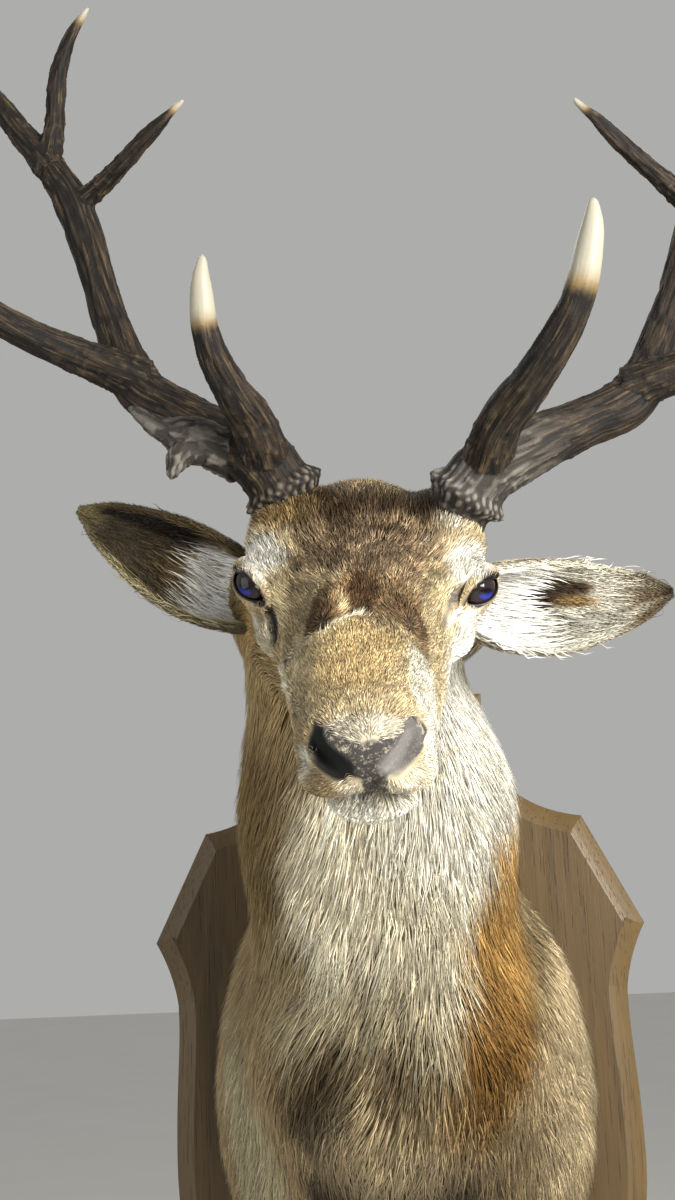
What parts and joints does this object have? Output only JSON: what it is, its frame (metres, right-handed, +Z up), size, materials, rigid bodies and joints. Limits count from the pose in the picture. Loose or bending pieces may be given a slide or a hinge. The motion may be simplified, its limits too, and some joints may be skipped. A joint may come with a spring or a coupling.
{
  "type": "red deer stag head mount",
  "caption": "Red deer stag head and neck mounted on a shield-shaped oak board that hangs flat on a wall, with branching antlers and a misgrown tine on one side.",
  "frame": {"origin": "centre of the contact face on the back of the shield, midway up the shield", "axes": "+Y into the wall, +Z up, +X to the right of someone facing the stag; the stag looks towards -Y"},
  "size_m": [0.8165, 0.7169, 1.4099],
  "materials": {
    "coat": "dense deer hair, cream throat, olive-brown sides, rust and dark brown patches",
    "ear_coat": "short hair, white inside the root, dark towards the tip",
    "nose": "dark pebbled bare skin, satin",
    "eye": "dark polished glass eye with a blue-black pupil",
    "antler": "rough dark brown bone with pale pearls and ivory tips",
    "oak": "olive-brown oak, vertical grain, satin varnish"
  },
  "bodies": {
    "root": {"antler_left_beam_lower": "antler", "antler_left_beam_upper": "antler", "antler_left_brow_tine": "antler", "antler_left_crown_tine_inner": "antler", "antler_left_crown_tine_middle": "antler", "antler_left_crown_tine_outer": "antler", "antler_left_trez_tine": "antler", "antler_right_beam_lower": "antler", "antler_right_beam_upper": "antler", "antler_right_bez_stub": "antler", "antler_right_brow_tine": "antler", "antler_right_crown_tine_inner": "antler", "antler_right_crown_tine_middle": "antler", "antler_right_crown_tine_outer": "antler", "antler_right_trez_tine": "antler", "ear_left": "ear_coat", "ear_right": "ear_coat", "eye_left": "eye", "eye_right": "eye", "head_skull": "coat", "lower_jaw": "coat", "muzzle": "coat", "neck_lower": "coat", "neck_upper": "coat", "nose_pad": "nose", "shield_board": "oak", "shoulder": "coat"}
  },
  "joints": []
}
